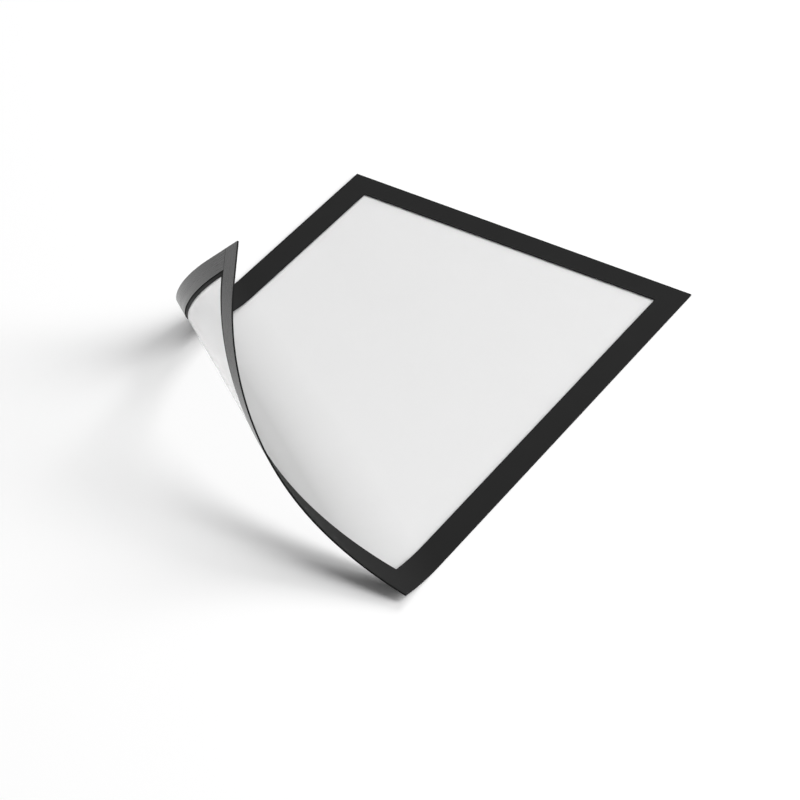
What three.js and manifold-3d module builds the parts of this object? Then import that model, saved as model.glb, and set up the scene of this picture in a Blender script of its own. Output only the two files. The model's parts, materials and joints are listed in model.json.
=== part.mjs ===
// Magnetic display frame for one A4 sheet: a clear window film with a black border on its front and four
// flexible magnetic strips on its back. It lies face up, with its bottom left corner peeled up and rolled over.
// The flexible layers are cut at the fold lines of that curl, and each fold is a group nested in the one before.
import * as THREE from 'three';
import { mergeVertices } from 'three/addons/utils/BufferGeometryUtils.js';
import Module from 'manifold-3d';

// Driving dimensions of the flat frame, in millimetres
const frameWidth = 236;
const frameHeight = 323;
const borderWidth = 16;
const stripWidth = 13;
const stripThickness = 0.5;
const filmThickness = 0.25;
const borderThickness = 0.15;
const bondGap = 0.05; // glue line between two layers
const buttGap = 0.3; // between the end of a side strip and the strip that it butts on

// Driving dimensions of the peeled corner, in millimetres and degrees
const foldCount = 10;
const foldKerf = 0.3; // clearance across a fold
const curlTurn = 120; // from the flat panel to the lifted corner
const curlStart = 36; // height of the first line of the curl on the right side, above the bottom corner
const curlSlope = 34; // rise of that line towards the left side
const curlFan = 17; // how much more steeply the last line of the curl rises
const curlCrowding = 0.25; // how much closer than even the folds lie in the middle of the curl
const cornerLength = 22.5; // the flat corner beyond the last line of the curl, square to the first line

const wasm = await Module();
wasm.setup();

// Heights of the layers, from the faces that lie on the board to the front
const filmBottom = stripThickness + bondGap;
const filmMiddle = filmBottom + filmThickness / 2;
const borderBottom = filmBottom + filmThickness + bondGap;

// Edges of the flat frame, about the middle of its outline
const right = frameWidth / 2;
const left = -right;
const top = frameHeight / 2;
const bottom = -top;

// Finishes
const clearFilm = new THREE.MeshStandardMaterial({
  color: 0xe9ebeb, roughness: 0.35, metalness: 0, transparent: true, opacity: 0.35,
});
const blackFoil = new THREE.MeshStandardMaterial({ color: 0x2b2b2c, roughness: 0.6, metalness: 0 });
const magnetRubber = new THREE.MeshStandardMaterial({ color: 0x5a5b5d, roughness: 0.5, metalness: 0 });

// A closed geometry as a solid that can be cut
function toSolid(geometry) {
  geometry.deleteAttribute('normal');
  geometry.deleteAttribute('uv');
  const merged = mergeVertices(geometry);
  const mesh = new wasm.Mesh({
    numProp: 3,
    vertProperties: new Float32Array(merged.attributes.position.array),
    triVerts: new Uint32Array(merged.index.array),
  });
  return new wasm.Manifold(mesh);
}

// A solid as a geometry with flat faces
function toGeometry(solid) {
  const mesh = solid.getMesh();
  const geometry = new THREE.BufferGeometry();
  geometry.setAttribute('position', new THREE.BufferAttribute(mesh.vertProperties, 3));
  geometry.setIndex(new THREE.BufferAttribute(mesh.triVerts, 1));
  const faceted = geometry.toNonIndexed();
  faceted.computeVertexNormals();
  return faceted;
}

function rectangle(x0, y0, x1, y1) {
  return new THREE.Shape([
    new THREE.Vector2(x0, y0),
    new THREE.Vector2(x1, y0),
    new THREE.Vector2(x1, y1),
    new THREE.Vector2(x0, y1),
  ]);
}

// A shape of the flat frame as a layer of its own height and thickness
function layer(shape, height, thickness) {
  const geometry = new THREE.ExtrudeGeometry(shape, { depth: thickness, bevelEnabled: false });
  geometry.translate(0, 0, height);
  return toSolid(geometry);
}

// Flat layers: the top and bottom strips run from side to side, and the side strips butt on them
const borderShape = rectangle(left, bottom, right, top);
borderShape.holes.push(
  rectangle(left + borderWidth, bottom + borderWidth, right - borderWidth, top - borderWidth),
);
const sideEnd = stripWidth + buttGap;
const stripShapes = {
  top_magnet: rectangle(left, top - stripWidth, right, top),
  bottom_magnet: rectangle(left, bottom, right, bottom + stripWidth),
  left_magnet: rectangle(left, bottom + sideEnd, left + stripWidth, top - sideEnd),
  right_magnet: rectangle(right - stripWidth, bottom + sideEnd, right, top - sideEnd),
};
const layers = [
  {
    name: 'window_film',
    finish: clearFilm,
    solid: layer(rectangle(left, bottom, right, top), filmBottom, filmThickness),
  },
  {
    name: 'front_border',
    finish: blackFoil,
    solid: layer(borderShape, borderBottom, borderThickness),
  },
  ...Object.entries(stripShapes).map(([name, shape]) => ({
    name,
    finish: magnetRubber,
    solid: layer(shape, 0, stripThickness),
  })),
];

// Fold lines in the flat frame. Equal folds lie along a spine that runs to the lifted corner, square to the
// first line of the curl, at curlLength * (q + curlCrowding * sin(2 pi q) / (2 pi)) for even shares q of the
// turn, and their slope grows with the square of that distance.
function lineAxis(slope) {
  return new THREE.Vector3(-Math.cos(slope), Math.sin(slope), 0);
}
const startSlope = THREE.MathUtils.degToRad(curlSlope);
const fanSlope = THREE.MathUtils.degToRad(curlFan);
const startAxis = lineAxis(startSlope);
const spineDirection = new THREE.Vector3(-Math.sin(startSlope), -Math.cos(startSlope), 0);
const firstLineEnd = new THREE.Vector3(right, bottom + curlStart, filmMiddle);
const toCorner = new THREE.Vector3(left, bottom, filmMiddle).sub(firstLineEnd);
const spineStart = firstLineEnd.clone().addScaledVector(startAxis, toCorner.dot(startAxis));
const curlLength = toCorner.dot(spineDirection) - cornerLength;
const folds = Array.from({ length: foldCount }, (_, index) => {
  const share = (index + 0.5) / foldCount;
  const along = share + (curlCrowding * Math.sin(2 * Math.PI * share)) / (2 * Math.PI);
  const slope = startSlope + fanSlope * along ** 2;
  return {
    slope,
    axis: lineAxis(slope),
    pivot: spineStart.clone().addScaledVector(spineDirection, curlLength * along),
  };
});

// A block over everything on the lifted side of a fold line, from a clearance beyond it
const blockReach = 2 * (frameWidth + frameHeight);
function liftedSide(fold, clearance) {
  const block = new THREE.BoxGeometry(blockReach, blockReach, blockReach);
  block.translate(0, -blockReach / 2 - clearance, 0);
  block.rotateZ(-fold.slope);
  block.translate(fold.pivot.x, fold.pivot.y, 0);
  return toSolid(block);
}

// The pieces of one layer between two fold lines, as separate solids
function piecesBetween(solid, from, to) {
  const lifted = from ? solid.intersect(liftedSide(from, foldKerf / 2)) : solid;
  const segment = to ? lifted.subtract(liftedSide(to, -foldKerf / 2)) : lifted;
  return segment.decompose();
}

// A fold of the border that spans the window has two pieces, told apart by the side that they lie on
function sideName(solid) {
  const box = solid.boundingBox();
  const fromLeft = (box.min[0] + box.max[0]) / 2 - left;
  const fromBottom = (box.min[1] + box.max[1]) / 2 - bottom;
  return fromLeft < fromBottom ? '_left' : '_bottom';
}

// Adds the pieces of every layer between two fold lines to a group
function addSegment(group, suffix, from, to) {
  for (const { name, finish, solid } of layers) {
    const pieces = piecesBetween(solid, from, to);
    for (const piece of pieces) {
      const side = pieces.length > 1 ? sideName(piece) : '';
      const mesh = new THREE.Mesh(toGeometry(piece), finish);
      mesh.name = `${name}${side}${suffix}`;
      group.add(mesh);
    }
  }
}

// The flat panel, then each fold turned about its own line and nested in the one before
const displayFrame = new THREE.Group();
displayFrame.name = 'magnetic_display_frame';
addSegment(displayFrame, '', null, folds[0]);
const foldTurn = THREE.MathUtils.degToRad(curlTurn / foldCount);
let carrier = displayFrame;
folds.forEach((fold, index) => {
  const group = new THREE.Group();
  group.name = `fold_${index + 1}`;
  group.quaternion.setFromAxisAngle(fold.axis, foldTurn);
  group.position.copy(fold.pivot).sub(fold.pivot.clone().applyQuaternion(group.quaternion));
  addSegment(group, `_fold_${index + 1}`, fold, folds[index + 1]);
  carrier.add(group);
  carrier = group;
});

export default displayFrame;
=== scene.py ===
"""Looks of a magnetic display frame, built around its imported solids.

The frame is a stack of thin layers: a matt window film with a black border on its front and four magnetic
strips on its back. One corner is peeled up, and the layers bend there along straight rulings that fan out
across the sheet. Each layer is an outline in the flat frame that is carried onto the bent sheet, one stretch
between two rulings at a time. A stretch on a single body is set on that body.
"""
import json
import math
from dataclasses import dataclass
from typing import NamedTuple

import bpy
import numpy as np
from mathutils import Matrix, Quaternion, Vector

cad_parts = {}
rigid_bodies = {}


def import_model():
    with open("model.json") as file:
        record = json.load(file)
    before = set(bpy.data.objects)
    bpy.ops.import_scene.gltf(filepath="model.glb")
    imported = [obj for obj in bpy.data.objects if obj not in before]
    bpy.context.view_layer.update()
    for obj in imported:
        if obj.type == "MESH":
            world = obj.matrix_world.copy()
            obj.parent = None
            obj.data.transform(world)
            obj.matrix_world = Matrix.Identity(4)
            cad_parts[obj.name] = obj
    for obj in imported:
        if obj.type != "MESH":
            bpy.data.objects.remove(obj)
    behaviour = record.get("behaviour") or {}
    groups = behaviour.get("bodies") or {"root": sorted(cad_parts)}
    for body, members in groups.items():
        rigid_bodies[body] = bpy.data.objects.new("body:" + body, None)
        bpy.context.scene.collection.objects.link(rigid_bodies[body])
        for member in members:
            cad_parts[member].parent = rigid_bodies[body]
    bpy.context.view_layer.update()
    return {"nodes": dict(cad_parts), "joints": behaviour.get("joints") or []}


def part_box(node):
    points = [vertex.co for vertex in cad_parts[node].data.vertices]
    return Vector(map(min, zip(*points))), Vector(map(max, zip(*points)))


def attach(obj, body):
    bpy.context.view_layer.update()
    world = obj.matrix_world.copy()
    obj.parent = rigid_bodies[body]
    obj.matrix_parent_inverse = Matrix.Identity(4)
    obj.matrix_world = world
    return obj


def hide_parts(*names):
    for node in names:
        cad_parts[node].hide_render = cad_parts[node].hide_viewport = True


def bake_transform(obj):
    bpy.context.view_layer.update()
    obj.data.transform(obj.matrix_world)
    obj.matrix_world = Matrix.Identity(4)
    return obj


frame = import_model()

# Sizes of the flat frame, in metres, about the middle of its outline
BORDER_WIDTH = 0.016
strip_low, strip_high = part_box("top_magnet")
_, side_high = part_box("left_magnet")
film_low, film_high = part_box("window_film")
foil_low, foil_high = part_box("front_border")
LEFT, RIGHT, TOP = strip_low.x, strip_high.x, strip_high.y
BOTTOM = -TOP
STRIP_WIDTH = TOP - strip_low.y
SIDE_END = TOP - side_high.y
MIDDLE = (film_low.z + film_high.z) / 2
PEELED_CORNER = np.array([LEFT, BOTTOM])

# Fineness of the meshes
BEND_LEVELS = 32
FADE_LEVELS = 16
WINDOW_COLUMNS = 12
ROOT_SAMPLES = 801  # along a stretch, to find the ruling through a corner
CORNER_CLEARANCE = 0.2  # between such a ruling and an even level, in levels
LEAST_COVER = 1e-6  # share of a stretch below which a patch misses it
SHARE_DIGITS = 9
PLACE_DIGITS = 7  # in metres, to which the places of welded points agree
LEAST_RISE = 1e-9
SHARP_ANGLE = 35.0

# How far a stretch's blend ends lie before and after it, in its own lengths
ON_BEND = (1.0, 1.0)
BEFORE_BEND = (0.0, 2.0)
AFTER_BEND = (2.0, 0.0)

# Grain of the finishes
SPECK_SHARE = 0.4  # of the specks, beside the clouds
NOISE_LOW, NOISE_HIGH = 0.3, 0.7  # between which most of the grain lies
BUMP_STRENGTH = 0.5
EVEN_GRAIN = (1.0, 1.0, 1.0)
ROLLED = 0.03  # how much the grain is drawn out along a strip

# Stage and light, in metres
FLOOR_REACH = 12.0
FLOOR_DROP = 0.0001
FLOOR_GREY = 0.97
WORLD_LIGHT = 0.19
LAMP_DISTANCE = 8.0

# Camera, in metres and degrees, with its lens and sensor in millimetres
CAMERA_PLACE = Vector((0.8285, -1.3105, 1.2169))
CAMERA_AIM = Vector((0.0245, -0.0164, 0.001))
CAMERA_ROLL = 0.17
CAMERA_LENS = 153.33
SENSOR_WIDTH = 36.0


class Line(NamedTuple):
    """A line in the flat frame: a unit normal towards the peeled corner, and an offset along it."""
    normal: np.ndarray
    offset: float

    def moved(self, distance):
        """The parallel line so far towards the peeled corner."""
        return Line(self.normal, self.offset + distance)

    def height_of(self, point):
        """How far a point lies beyond the line, towards the peeled corner."""
        return self.normal @ point - self.offset


class Pose(NamedTuple):
    """Where a flat facet of the sheet lies at rest: its points are turned and then shifted."""
    turn: np.ndarray
    shift: np.ndarray


class Ruling(NamedTuple):
    """A straight line across the sheet, with a base point on it and the pose of the facet that it lies on."""
    line: Line
    base: np.ndarray
    pose: Pose

    def moved(self, distance):
        """The parallel ruling so far towards the peeled corner, on the same facet."""
        return Ruling(self.line.moved(distance), self.base + distance * self.line.normal, self.pose)


@dataclass
class Stretch:
    """A run of the sheet from one ruling to another, shaped by a third one between them."""
    name: str
    folds: tuple  # numbers of the folds whose solids it spans, with 0 for the flat panel
    bodies: tuple
    rulings: tuple
    levels: int = 1
    overrun: tuple = ()  # where its blend ends lie, before it and after it

    def flat_rulings(self):
        """The three rulings in the flat frame: base points, and directions square to the lines' normals."""
        normals = np.array([ruling.line.normal for ruling in self.rulings])
        bases = np.array([ruling.base for ruling in self.rulings])
        return bases, np.stack([normals[:, 1], -normals[:, 0]], axis=1)

    def bent_rulings(self):
        """The same base points and directions on the bent sheet, taken there by the pose of each ruling."""
        bases, directions = self.flat_rulings()
        turns = np.array([ruling.pose.turn for ruling in self.rulings])
        shifts = np.array([ruling.pose.shift for ruling in self.rulings])
        raised = np.column_stack([bases, np.full(len(bases), MIDDLE)])
        level = np.column_stack([directions, np.zeros(len(bases))])
        return np.einsum("rij,rj->ri", turns, raised) + shifts, np.einsum("rij,rj->ri", turns, level)

    def facing(self):
        """The sheet's normals at the two ends of the stretch."""
        return self.rulings[0].pose.turn[:, 2], self.rulings[-1].pose.turn[:, 2]

    def blend_ends(self):
        """Two points in line with the bent stretch, as far before and after it as its overrun says."""
        bases, _ = self.bent_rulings()
        before, after = self.overrun
        run = bases[-1] - bases[0]
        return bases[0] - before * run, bases[-1] + after * run


# Rulings and stretches, worked out from the joints
def bisector(one, other):
    """The line halfway between two lines: the sum of both, scaled back to a unit normal."""
    normal = one.normal + other.normal
    length = np.linalg.norm(normal)
    return Line(normal / length, (one.offset + other.offset) / length)


def mirrored(line, mirror):
    """A line's mirror image in another line, with its normal still towards the peeled corner."""
    cosine = line.normal @ mirror.normal
    return Line(2 * cosine * mirror.normal - line.normal, 2 * cosine * mirror.offset - line.offset)


def turn_about(axis, angle):
    """Rotation matrix about a unit axis, by Rodrigues' formula."""
    x, y, z = axis
    cross = np.array([[0, -z, y], [z, 0, -x], [-y, x, 0]])
    return np.eye(3) + math.sin(angle) * cross + (1 - math.cos(angle)) * cross @ cross


def read_folds(joints):
    """The fold line of each joint in the flat frame, and the rest pose of each facet between them.

    A joint's place and axis at rest, taken back by the pose of the facet before it, give its line. That pose
    turned about the joint, by the angle from its flat limit to rest, is the pose of the next facet.
    """
    pose = Pose(np.eye(3), np.zeros(3))
    lines, poses = [], [pose]
    for joint in joints:
        place = np.array(joint["pos_m"])
        axis = np.array(joint["axis"]) / np.linalg.norm(joint["axis"])
        flat_axis = pose.turn.T @ axis
        flat_place = pose.turn.T @ (place - pose.shift)
        normal = np.array([-flat_axis[1], flat_axis[0]])
        lines.append(Line(normal, normal @ flat_place[:2]))
        bend = turn_about(axis, math.radians(-joint["range_deg"][0]))
        pose = Pose(bend @ pose.turn, bend @ (pose.shift - place) + place)
        poses.append(pose)
    return lines, poses


def next_ruling(ruling, line, pose):
    """The ruling on another line, with its base point mirrored over in the line halfway between the two."""
    between = bisector(ruling.line, line)
    return Ruling(line, ruling.base - 2 * between.height_of(ruling.base) * between.normal, pose)


def flat_stretch(name, fold, bodies, ruling, start, end, **more):
    """A stretch of one flat facet, from a start to an end distance beyond a ruling on it."""
    rulings = tuple(ruling.moved(distance) for distance in np.linspace(start, end, 3))
    return Stretch(name, (fold,), bodies, rulings, **more)


def make_stretches(joints):
    """The flat panel, one bend about each fold line and the flat corner beyond the last of them.

    A bend runs between the rulings halfway to the folds on both sides of its own, which lie on flat facets.
    The rulings' base points are mirrored from one to the next, so that they cross every ruling squarely.
    Each bend's overrun reaches one bend before it and one bend after it. The flat stretches beside the first
    and the last bend, panel_end and corner_start, are each as long as its bend, and their overrun reaches two
    of their lengths towards it.
    """
    folds, poses = read_folds(joints)
    seams = [bisector(one, other) for one, other in zip(folds, folds[1:])]
    seams = [mirrored(seams[0], folds[0]), *seams, mirrored(seams[-1], folds[-1])]
    bodies = (joints[0]["parent"], *(joint["child"] for joint in joints))

    first_base = PEELED_CORNER - seams[0].height_of(PEELED_CORNER) * seams[0].normal
    first = last = Ruling(seams[0], first_base, poses[0])
    bends = []
    for number, (fold, seam) in enumerate(zip(folds, seams[1:]), start=1):
        middle = next_ruling(last, fold, poses[number - 1])
        end = next_ruling(middle, seam, poses[number])
        spanned = (number - 1, number)
        pair = bodies[number - 1:number + 1]
        bends.append(Stretch(f"bend_{number}", spanned, pair, (last, middle, end), BEND_LEVELS, ON_BEND))
        last = end

    first_length = -2 * folds[0].height_of(first.base)
    last_length = 2 * folds[-1].height_of(last.base)
    far_end = min(first.line.height_of(corner) for corner in frame_outline)
    tip = last.line.height_of(PEELED_CORNER)
    count = len(folds)
    return [
        flat_stretch("panel", 0, bodies[:1], first, far_end, -first_length),
        flat_stretch(
            "panel_end", 0, bodies[:2], first, -first_length, 0.0, levels=FADE_LEVELS, overrun=BEFORE_BEND
        ),
        *bends,
        flat_stretch(
            "corner_start", count, bodies[-2:], last, 0.0, last_length, levels=FADE_LEVELS, overrun=AFTER_BEND
        ),
        flat_stretch("corner", count, bodies[-1:], last, last_length, tip),
    ]


# Outlines in the flat frame, counter-clockwise from the front
def rectangle(left, bottom, right, top):
    """The four corners of a rectangle."""
    return np.array([[left, bottom], [right, bottom], [right, top], [left, top]])


def mitred_sides(outer, inner):
    """The four sides between two rectangles, one inside the other, mitred at their corners."""
    return np.stack([outer, np.roll(outer, -1, axis=0), np.roll(inner, -1, axis=0), inner], axis=1)


frame_outline = rectangle(LEFT, BOTTOM, RIGHT, TOP)
window_outline = rectangle(
    LEFT + BORDER_WIDTH, BOTTOM + BORDER_WIDTH, RIGHT - BORDER_WIDTH, TOP - BORDER_WIDTH
)
side_outlines = mitred_sides(frame_outline, window_outline)
strip_outlines = {
    "top_magnet": rectangle(LEFT, TOP - STRIP_WIDTH, RIGHT, TOP),
    "bottom_magnet": rectangle(LEFT, BOTTOM, RIGHT, BOTTOM + STRIP_WIDTH),
    "left_magnet": rectangle(LEFT, BOTTOM + SIDE_END, LEFT + STRIP_WIDTH, TOP - SIDE_END),
    "right_magnet": rectangle(RIGHT - STRIP_WIDTH, BOTTOM + SIDE_END, RIGHT, TOP - SIDE_END),
}


# Surfaces
def bezier_weights(shares):
    """Weights of three rulings at each share of a stretch: (1-u)^2, 2u(1-u) and u^2."""
    return np.stack([(1 - shares) ** 2, 2 * shares * (1 - shares), shares ** 2], axis=1)


def corner_shares(stretch, outline):
    """The share of a stretch at which its ruling passes each corner of an outline, from 0 to 1.

    The corner's height over the ruling falls as the share grows, so its root is read off a fine sampling.
    """
    samples = np.linspace(0, 1, ROOT_SAMPLES)
    bases, directions = (bezier_weights(samples) @ rulings for rulings in stretch.flat_rulings())
    normals = np.stack([-directions[:, 1], directions[:, 0]], axis=1)
    heights = normals @ outline.T - (normals * bases).sum(axis=1)[:, None]
    return np.array([np.interp(0.0, column[::-1], samples[::-1]) for column in heights.T])


def inside_range(outline, bases, directions):
    """The lowest and the highest v at which each line base + v * direction lies inside a convex outline.

    A side of the outline bounds v from below where the line crosses it inwards, and else from above.
    """
    sides = np.roll(outline, -1, axis=0) - outline
    inward = np.stack([-sides[:, 1], sides[:, 0]], axis=1)
    rise = directions @ inward.T
    gap = (outline * inward).sum(axis=1) - bases @ inward.T
    reach = gap / np.where(np.abs(rise) > LEAST_RISE, rise, 1.0)
    low = np.where(rise > LEAST_RISE, reach, -np.inf).max(axis=1)
    high = np.where(rise < -LEAST_RISE, reach, np.inf).min(axis=1)
    return low, np.maximum(low, high)


def ruled_band(stretch, outline, columns):
    """A convex outline of the flat frame carried onto a stretch, as a grid of points along rulings.

    A ruling at share u is base(u) + v * direction(u), both Bezier blends of the stretch's three rulings, in
    the flat frame and on the bent sheet alike. The outline gives the range of v, and rulings through its
    corners keep its exact shape. Returns None where the outline misses the stretch.
    """
    corners = corner_shares(stretch, outline)
    first, last = corners.min(), corners.max()
    if last - first < LEAST_COVER:
        return None
    even = np.linspace(0, 1, stretch.levels + 1)
    clear = np.abs(even[:, None] - corners).min(axis=1) > CORNER_CLEARANCE / stretch.levels
    between = even[clear & (even > first) & (even < last)]
    shares = np.unique(np.concatenate([between, corners]).round(SHARE_DIGITS))

    weights = bezier_weights(shares)
    bases, directions = (weights @ rulings for rulings in stretch.flat_rulings())
    bent_bases, bent_directions = (weights @ rulings for rulings in stretch.bent_rulings())
    low, high = inside_range(outline, bases, directions)
    along = low[:, None] + (high - low)[:, None] * np.linspace(0, 1, columns + 1)
    flat = bases[:, None] + along[..., None] * directions[:, None]
    bent = bent_bases[:, None] + along[..., None] * bent_directions[:, None]
    start_normal, end_normal = stretch.facing()
    normals = np.outer(1 - shares, start_normal) + np.outer(shares, end_normal)
    normals /= np.linalg.norm(normals, axis=1)[:, None]

    grid = np.arange(along.size).reshape(along.shape)
    quads = np.stack([grid[:-1, :-1], grid[:-1, 1:], grid[1:, 1:], grid[1:, :-1]], axis=-1).reshape(-1, 4)
    return {
        "flat": flat.reshape(-1, 2),
        "bent": bent.reshape(-1, 3),
        "normal": np.repeat(normals, columns + 1, axis=0),
        "share": np.repeat(shares, columns + 1),
        "triangles": np.concatenate([quads[:, [0, 1, 2]], quads[:, [0, 2, 3]]]),
    }


def joined(bands):
    """Several bands as one sheet: points at the same flat place are welded, and empty triangles are dropped.

    Each triangle keeps the number of the band that it comes from.
    """
    points = {
        key: np.concatenate([band[key] for band in bands]) for key in ("flat", "bent", "normal", "share")
    }
    _, kept, welded = np.unique(
        points["flat"].round(PLACE_DIGITS), axis=0, return_index=True, return_inverse=True
    )
    starts = np.cumsum([0] + [len(band["flat"]) for band in bands])
    triangles = np.concatenate([band["triangles"] + start for band, start in zip(bands, starts)])
    triangles = welded.reshape(-1)[triangles]
    source = np.repeat(np.arange(len(bands)), [len(band["triangles"]) for band in bands])
    whole = (triangles != np.roll(triangles, 1, axis=1)).all(axis=1)
    sheet = {key: values[kept] for key, values in points.items()}
    return {**sheet, "triangles": triangles[whole], "source": source[whole]}


def slab(sheet, low, high, closed):
    """A sheet thickened from a low to a high level of the stack, with walls along its edges.

    Its front and back lie at those heights over the middle of the film, along the sheet's normals. An edge
    is a side of one triangle only. Where the slab isn't closed, the edges at both ends of the stretch get no
    wall.
    """
    triangles, count = sheet["triangles"], len(sheet["flat"])
    front = sheet["bent"] + (high - MIDDLE) * sheet["normal"]
    back = sheet["bent"] + (low - MIDDLE) * sheet["normal"]
    sides = np.stack([triangles, np.roll(triangles, -1, axis=1)], axis=-1).reshape(-1, 2)
    edges = sides[~np.isin(sides[:, 0] * count + sides[:, 1], sides[:, 1] * count + sides[:, 0])]
    if not closed:
        ends = sheet["share"][edges]
        edges = edges[~((ends == 0).all(axis=1) | (ends == 1).all(axis=1))]
    start, end = edges.T
    walls = np.concatenate([
        np.stack([end, start, start + count], axis=1),
        np.stack([end, start + count, end + count], axis=1),
    ])
    points = np.concatenate([front, back])
    faces = np.concatenate([triangles, triangles[:, ::-1] + count, walls])
    return points, faces, len(walls)


def add_piece(name, points, faces, flat, finishes, finish_numbers):
    """A mesh object from arrays, with the flat places of its points as its UV map, in metres."""
    mesh = bpy.data.meshes.new(name)
    mesh.from_pydata(points, [], faces)
    for finish in finishes:
        mesh.materials.append(finish)
    mesh.polygons.foreach_set("material_index", finish_numbers)
    mesh.polygons.foreach_set("use_smooth", np.ones(len(faces), bool))
    mesh.set_sharp_from_angle(angle=math.radians(SHARP_ANGLE))
    corner_points = np.empty(len(mesh.loops), np.int32)
    mesh.loops.foreach_get("vertex_index", corner_points)
    uv_map = mesh.uv_layers.new(name="flat_place")
    uv_map.uv.foreach_set("vector", flat[corner_points].astype(np.float32).ravel())
    mesh.update()
    piece = bpy.data.objects.new(name, mesh)
    bpy.context.scene.collection.objects.link(piece)
    return piece


# Finishes
COLOUR_A, COLOUR_B, COLOUR_RESULT = 6, 7, 2  # a Mix node's sockets for colours


def add_node(tree, kind, inputs=(), **settings):
    """A shader node with its settings, and with values or links for its inputs by name or number."""
    node = tree.nodes.new(kind)
    for key, value in settings.items():
        setattr(node, key, value)
    for key, value in dict(inputs).items():
        if isinstance(value, bpy.types.NodeSocket):
            tree.links.new(value, node.inputs[key])
        else:
            node.inputs[key].default_value = value
    return node


def mix_colours(tree, factor, one, other):
    """A colour that goes from one to another as a factor goes from 0 to 1."""
    ends = {COLOUR_A: one, COLOUR_B: other}
    mix = add_node(tree, "ShaderNodeMix", {"Factor": factor, **ends}, data_type="RGBA")
    return mix.outputs[COLOUR_RESULT]


def grey(level):
    """A neutral colour, opaque."""
    return (level, level, level, 1.0)


def make_grain():
    """Shared grain of the sheet's surfaces: fine specks over wide, faint clouds."""
    tree = bpy.data.node_groups.new("sheet_grain", "ShaderNodeTree")
    for name, kind in (
        ("Place", "NodeSocketVector"),
        ("Speck Scale", "NodeSocketFloat"),
        ("Cloud Scale", "NodeSocketFloat"),
        ("Dark", "NodeSocketColor"),
        ("Light", "NodeSocketColor"),
        ("Smoothest", "NodeSocketFloat"),
        ("Roughest", "NodeSocketFloat"),
    ):
        tree.interface.new_socket(name=name, in_out="INPUT", socket_type=kind)
    for name, kind in (
        ("Colour", "NodeSocketColor"),
        ("Roughness", "NodeSocketFloat"),
        ("Height", "NodeSocketFloat"),
    ):
        tree.interface.new_socket(name=name, in_out="OUTPUT", socket_type=kind)
    given = add_node(tree, "NodeGroupInput").outputs
    specks = add_node(
        tree, "ShaderNodeTexNoise",
        {"Vector": given["Place"], "Scale": given["Speck Scale"], "Detail": 2.0, "Roughness": 0.6},
    )
    clouds = add_node(
        tree, "ShaderNodeTexNoise",
        {"Vector": given["Place"], "Scale": given["Cloud Scale"], "Detail": 3.0, "Roughness": 0.5},
    )
    both = add_node(
        tree, "ShaderNodeMix",
        {"Factor": SPECK_SHARE, "A": clouds.outputs["Fac"], "B": specks.outputs["Fac"]},
        data_type="FLOAT",
    )
    roughness = add_node(
        tree, "ShaderNodeMapRange",
        {
            "Value": both.outputs["Result"],
            "From Min": NOISE_LOW,
            "From Max": NOISE_HIGH,
            "To Min": given["Smoothest"],
            "To Max": given["Roughest"],
        },
    )
    add_node(
        tree, "NodeGroupOutput",
        {
            "Colour": mix_colours(tree, both.outputs["Result"], given["Dark"], given["Light"]),
            "Roughness": roughness.outputs["Result"],
            "Height": specks.outputs["Fac"],
        },
    )
    return tree


def start_material(name):
    """A material with an empty node tree and its output."""
    material = bpy.data.materials.new(name)
    material.use_nodes = True
    tree = material.node_tree
    tree.nodes.clear()
    return material, tree, add_node(tree, "ShaderNodeOutputMaterial")


def grained(tree, relief, grain, drawn_out=EVEN_GRAIN):
    """Places the shared grain on the sheet's flat places and returns its colour, roughness and bump."""
    uv_place = add_node(tree, "ShaderNodeUVMap", uv_map="flat_place")
    mapping = add_node(tree, "ShaderNodeMapping", {"Vector": uv_place.outputs["UV"], "Scale": drawn_out})
    placed = {"Place": mapping.outputs["Vector"], **grain}
    surface = add_node(tree, "ShaderNodeGroup", placed, node_tree=sheet_grain).outputs
    bump = add_node(
        tree, "ShaderNodeBump", {"Height": surface["Height"], "Distance": relief, "Strength": BUMP_STRENGTH}
    )
    return {
        "Base Color": surface["Colour"],
        "Roughness": surface["Roughness"],
        "Normal": bump.outputs["Normal"],
    }


def make_opaque(name, specular, relief, grain, drawn_out=EVEN_GRAIN):
    """A finish that light doesn't pass: the shared grain, with a specular level of its own."""
    material, tree, output = start_material(name)
    surface = grained(tree, relief, grain, drawn_out)
    shader = add_node(tree, "ShaderNodeBsdfPrincipled", {**surface, "Specular IOR Level": specular})
    tree.links.new(shader.outputs["BSDF"], output.inputs["Surface"])
    return material


def make_foil():
    """Matt black foil of the border."""
    grain = {
        "Speck Scale": 2600.0,
        "Cloud Scale": 45.0,
        "Dark": grey(0.01),
        "Light": grey(0.015),
        "Smoothest": 0.6,
        "Roughest": 0.75,
    }
    return make_opaque("matt_black_foil", specular=0.05, relief=0.00004, grain=grain)


def make_magnet_rubber(name, drawn_out):
    """Satin magnetic rubber with faint lines along the way it was rolled."""
    grain = {
        "Speck Scale": 900.0,
        "Cloud Scale": 200.0,
        "Dark": grey(0.034),
        "Light": grey(0.055),
        "Smoothest": 0.2,
        "Roughest": 0.32,
    }
    return make_opaque(name, specular=0.48, relief=0.00001, grain=grain, drawn_out=drawn_out)


def make_cut_rubber_and_painted_shade():
    """Dull black cut edges of the strips: their own black, and painted shade where the lamps light them."""
    grain = {
        "Speck Scale": 2200.0,
        "Cloud Scale": 200.0,
        "Dark": grey(0.006),
        "Light": grey(0.014),
        "Smoothest": 0.7,
        "Roughest": 0.9,
    }
    return make_opaque("cut_rubber", specular=0.1, relief=0.00004, grain=grain)


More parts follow.
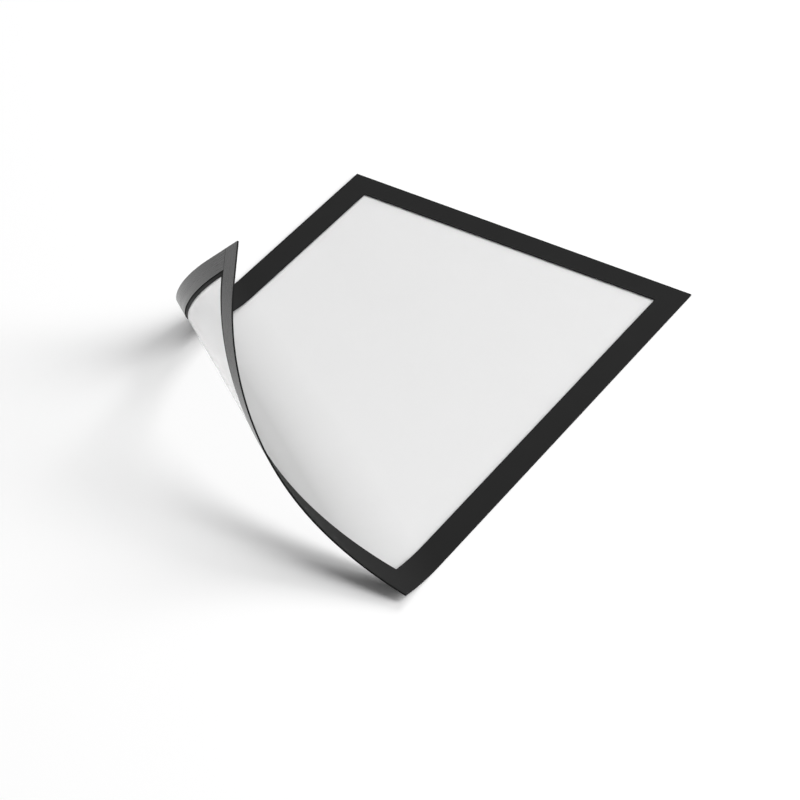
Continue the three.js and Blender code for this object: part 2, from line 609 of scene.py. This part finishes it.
def make_bonded_film():
    """The film's margin, through which the black foil glued to it shows."""
    grain = {
        "Speck Scale": 1800.0,
        "Cloud Scale": 60.0,
        "Dark": grey(0.008),
        "Light": grey(0.014),
        "Smoothest": 0.5,
        "Roughest": 0.65,
    }
    return make_opaque("bonded_film_margin", specular=0.12, relief=0.00001, grain=grain)


def make_film(name, dark, light, slant_from, slant_to, painted_slant_shade):
    """One side of the anti-glare film: its fine matt grain blurs what is behind it, and light passes through.

    A side tints the sight that enters by it and not the sight that leaves by it. At a slant its tint
    darkens, by up to the painted slant shade: painted shade that follows the angle of view. A slant is 0
    where the film faces the eye and 1 where it is seen edge on. Diffuse light and shadows pass the film as
    if it were clear.
    """
    material, tree, output = start_material(name)
    grain = {
        "Speck Scale": 3000.0,
        "Cloud Scale": 25.0,
        "Dark": grey(dark),
        "Light": grey(light),
        "Smoothest": 0.6,
        "Roughest": 0.7,
    }
    surface = grained(tree, relief=0.00001, grain=grain)
    slant = add_node(tree, "ShaderNodeLayerWeight", {"Blend": 0.5})
    painted_shade = add_node(
        # Painted shade: the tint darkens as the film is seen more edge on
        tree, "ShaderNodeMapRange",
        {
            "Value": slant.outputs["Facing"],
            "From Min": slant_from,
            "From Max": slant_to,
            "To Max": painted_slant_shade,
        },
    )
    tint_with_painted_shade = mix_colours(tree, painted_shade.outputs["Result"], surface["Base Color"], grey(0.0))
    geometry = add_node(tree, "ShaderNodeNewGeometry")
    shader = add_node(
        tree, "ShaderNodeBsdfPrincipled",
        {
            **surface,
            "Base Color": mix_colours(tree, geometry.outputs["Backfacing"], tint_with_painted_shade, grey(1.0)),
            "Transmission Weight": 1.0,
            "IOR": 1.18,
            "Specular Tint": grey(0.15),
        },
    )
    clear = add_node(tree, "ShaderNodeBsdfTransparent", {"Color": grey(0.98)})
    light_path = add_node(tree, "ShaderNodeLightPath").outputs
    seen = shader.outputs["BSDF"]
    for ray in ("Is Diffuse Ray", "Is Shadow Ray"):
        mix = add_node(
            tree, "ShaderNodeMixShader", {"Fac": light_path[ray], 1: seen, 2: clear.outputs["BSDF"]}
        )
        seen = mix.outputs["Shader"]
    tree.links.new(seen, output.inputs["Surface"])
    return material


sheet_grain = make_grain()
foil = make_foil()
# Both sides darken at a slant by painted shade. The back's tint is lighter than the front's, which is painted
# light: the same film looks lighter from behind.
film_front_painted_shade = make_film("matt_film_front", 0.64, 0.7, slant_from=0.36, slant_to=0.62, painted_slant_shade=0.47)
film_back_painted_light_and_shade = make_film("matt_film_back", 0.93, 0.97, slant_from=0.8, slant_to=1.0, painted_slant_shade=0.2)
bonded_film = make_bonded_film()
# The strips' cut edges: the rubber's own black, and painted shade on the lit edge walls
cut_rubber = make_cut_rubber_and_painted_shade()
rubber_along_x = make_magnet_rubber("magnet_rubber_across", (ROLLED, 1.0, 1.0))
rubber_along_y = make_magnet_rubber("magnet_rubber_upright", (1.0, ROLLED, 1.0))


# Layers of the stack, dressed on every stretch
@dataclass
class Patch:
    """A convex part of a layer: its outline in the flat frame, and the finishes of its front and back."""
    outline: np.ndarray
    front: bpy.types.Material
    back: bpy.types.Material
    columns: int = 1


@dataclass
class Layer:
    """One layer of the stack, from a low to a high level."""
    name: str
    stems: tuple  # how the names of its solids start
    slot: str
    low: float
    high: float
    patches: list
    edge: bpy.types.Material
    closed: bool = True

    def finishes(self):
        """Its finishes, once each, in the order of their use."""
        faces = [finish for patch in self.patches for finish in (patch.front, patch.back)]
        return list(dict.fromkeys([*faces, self.edge]))


def make_layers():
    """The window film, the border's foil and the four strips."""
    window = Patch(window_outline, film_front_painted_shade, film_back_painted_light_and_shade, WINDOW_COLUMNS)
    margin = [Patch(side, bonded_film, bonded_film) for side in side_outlines]
    layers = [
        Layer(
            "window_sheet", ("window_film",), "window_film", film_low.z, film_high.z,
            [window, *margin], edge=bonded_film, closed=False,
        ),
        Layer(
            "border_foil", ("front_border", "front_border_left", "front_border_bottom"), "front_border",
            foil_low.z, foil_high.z, [Patch(side, foil, foil) for side in side_outlines], edge=foil,
        ),
    ]
    for node, outline in strip_outlines.items():
        rubber = rubber_along_y if node in ("left_magnet", "right_magnet") else rubber_along_x
        layers.append(
            Layer(
                node.replace("_magnet", "_strip"), (node,), "magnet_strip", strip_low.z, strip_high.z,
                [Patch(outline, rubber, rubber)], edge=cut_rubber,
            )
        )
    return layers


def solids_of(layer, stretch):
    """The names of a layer's solids in the folds that a stretch spans."""
    endings = ["" if fold == 0 else f"_fold_{fold}" for fold in stretch.folds]
    names = [stem + ending for stem in layer.stems for ending in endings]
    return [name for name in names if name in frame["nodes"]]


def dress(layer, stretch):
    """Makes a layer's piece on one stretch, sets it on the stretch's body where there is only one, and hides
    the layer's solids there.
    """
    found = [(patch, ruled_band(stretch, patch.outline, patch.columns)) for patch in layer.patches]
    found = [(patch, band) for patch, band in found if band is not None]
    if not found:
        return
    sheet = joined([band for _, band in found])
    points, faces, wall_count = slab(sheet, layer.low, layer.high, layer.closed)
    finishes = layer.finishes()
    of_front = np.array([finishes.index(patch.front) for patch, _ in found])[sheet["source"]]
    of_back = np.array([finishes.index(patch.back) for patch, _ in found])[sheet["source"]]
    of_walls = np.full(wall_count, finishes.index(layer.edge))
    piece = add_piece(
        f"{layer.name}_{stretch.name}", points, faces, np.tile(sheet["flat"], (2, 1)),
        finishes, np.concatenate([of_front, of_back, of_walls]),
    )
    if len(stretch.bodies) == 1:
        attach(piece, stretch.bodies[0])
    else:
        start, end = stretch.blend_ends()
        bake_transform(piece)
    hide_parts(*solids_of(layer, stretch))


sheet_stretches = make_stretches(frame["joints"])
for sheet_layer in make_layers():
    for sheet_stretch in sheet_stretches:
        dress(sheet_layer, sheet_stretch)


# Stage, light and camera
def make_floor():
    """A wide white floor just under the strips."""
    material, tree, output = start_material("white_floor")
    shader = add_node(
        tree, "ShaderNodeBsdfPrincipled",
        {"Base Color": grey(FLOOR_GREY), "Roughness": 0.9, "Specular IOR Level": 0.0},
    )
    tree.links.new(shader.outputs["BSDF"], output.inputs["Surface"])
    mesh = bpy.data.meshes.new("floor")
    corners = rectangle(-FLOOR_REACH, -FLOOR_REACH, FLOOR_REACH, FLOOR_REACH)
    mesh.from_pydata(np.column_stack([corners, np.full(4, -FLOOR_DROP)]), [], [(0, 1, 2, 3)])
    mesh.materials.append(material)
    floor = bpy.data.objects.new("floor", mesh)
    bpy.context.scene.collection.objects.link(floor)


def make_world():
    """Soft light from all around, which the camera, reflections and the film see as white."""
    world = bpy.data.worlds.new("soft_surroundings")
    bpy.context.scene.world = world
    world.use_nodes = True
    tree = world.node_tree
    tree.nodes.clear()
    light_path = add_node(tree, "ShaderNodeLightPath").outputs
    seen = light_path["Is Camera Ray"]
    for ray in ("Is Glossy Ray", "Is Transmission Ray"):
        either = add_node(tree, "ShaderNodeMath", {0: seen, 1: light_path[ray]}, operation="MAXIMUM")
        seen = either.outputs["Value"]
    strength = add_node(tree, "ShaderNodeMapRange", {"Value": seen, "To Min": WORLD_LIGHT, "To Max": 1.0})
    background = add_node(
        tree, "ShaderNodeBackground", {"Color": grey(1.0), "Strength": strength.outputs["Result"]}
    )
    add_node(tree, "ShaderNodeOutputWorld", {"Surface": background.outputs["Background"]})


def add_lamp(name, azimuth, elevation, width, height, power):
    """A soft box, turned to the frame. Azimuth 0 is towards +X and 90 towards +Y, in degrees."""
    lamp = bpy.data.lights.new(name, "AREA")
    lamp.shape = "RECTANGLE"
    lamp.size = width
    lamp.size_y = height
    lamp.energy = power
    a, e = math.radians(azimuth), math.radians(elevation)
    toward = Vector((math.cos(a) * math.cos(e), math.sin(a) * math.cos(e), math.sin(e)))
    holder = bpy.data.objects.new(name, lamp)
    holder.location = toward * LAMP_DISTANCE
    holder.rotation_mode = "QUATERNION"
    holder.rotation_quaternion = toward.to_track_quat("Z", "Y")
    bpy.context.scene.collection.objects.link(holder)
    return holder


def spare_film(lamp):
    """Keeps a lamp off the film, whose matt grain would glow and hide the window on the white floor."""
    film_pieces = bpy.data.collections.new("film_pieces")
    for piece in bpy.data.objects:
        if piece.name.startswith("window_sheet"):
            film_pieces.objects.link(piece)
    for entry in film_pieces.collection_objects:
        entry.light_linking.link_state = "EXCLUDE"
    lamp.light_linking.receiver_collection = film_pieces


def add_camera():
    """A camera at the photograph's viewing angle."""
    camera = bpy.data.cameras.new("camera")
    camera.lens = CAMERA_LENS
    camera.sensor_width = SENSOR_WIDTH
    holder = bpy.data.objects.new("camera", camera)
    holder.location = CAMERA_PLACE
    holder.rotation_mode = "QUATERNION"
    look = (CAMERA_AIM - CAMERA_PLACE).to_track_quat("-Z", "Y")
    holder.rotation_quaternion = look @ Quaternion((0, 0, 1), math.radians(CAMERA_ROLL))
    bpy.context.scene.collection.objects.link(holder)
    bpy.context.scene.camera = holder


make_floor()
make_world()
key_lamp = add_lamp("key_lamp", azimuth=27.0, elevation=37.0, width=4.6, height=9.1, power=862.0)
add_lamp("back_lamp", azimuth=92.0, elevation=38.0, width=3.4, height=3.0, power=238.0)
spare_film(key_lamp)
add_camera()
bpy.context.scene.view_settings.view_transform = "Standard"
